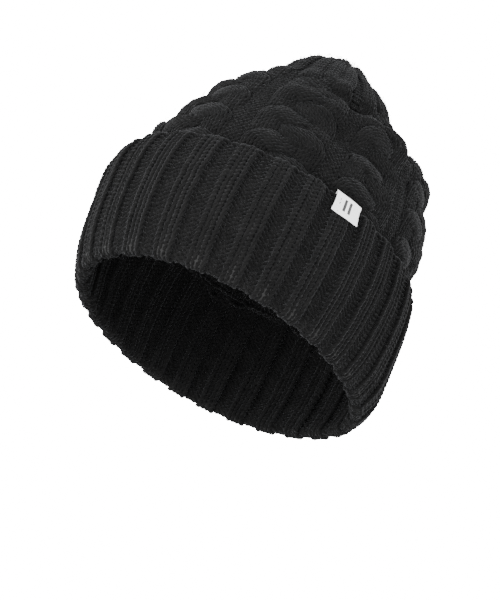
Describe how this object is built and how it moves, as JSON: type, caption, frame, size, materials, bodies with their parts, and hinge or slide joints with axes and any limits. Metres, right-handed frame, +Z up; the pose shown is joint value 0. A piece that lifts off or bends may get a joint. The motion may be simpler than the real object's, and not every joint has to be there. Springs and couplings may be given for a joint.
{
  "type": "knit beanie",
  "caption": "Close-fitting knitted winter hat with a deep ribbed turned-up cuff, a cabled crown drawn together at the top and a small blank woven label.",
  "frame": {"origin": "centre of the head opening, in the plane that the cuff's lower fold stands on", "axes": "+Z up the hat to the closed crown, -Y the wearer's front, +X the wearer's left"},
  "size_m": [0.179, 0.218, 0.198],
  "materials": {
    "cable_knit": "chunky matt wool-like yarn",
    "rib_knit": "chunky matt wool-like yarn",
    "seam_yarn": "matt yarn",
    "label_weave": "fine woven satin",
    "label_thread": "polyester thread",
    "care_label_weave": "soft satin tape"
  },
  "bodies": {
    "root": {"crown_shell": "cable_knit", "inner_band": "rib_knit", "turned_up_cuff": "rib_knit", "cuff_edge": "rib_knit", "crown_seam": "seam_yarn", "band_seam": "seam_yarn", "cuff_seam": "seam_yarn", "gathering_yarn": "seam_yarn", "gathering_knot": "seam_yarn", "woven_label": "label_weave", "label_stitches": "label_thread", "care_label": "care_label_weave", "care_label_stitches": "label_thread"}
  },
  "joints": []
}
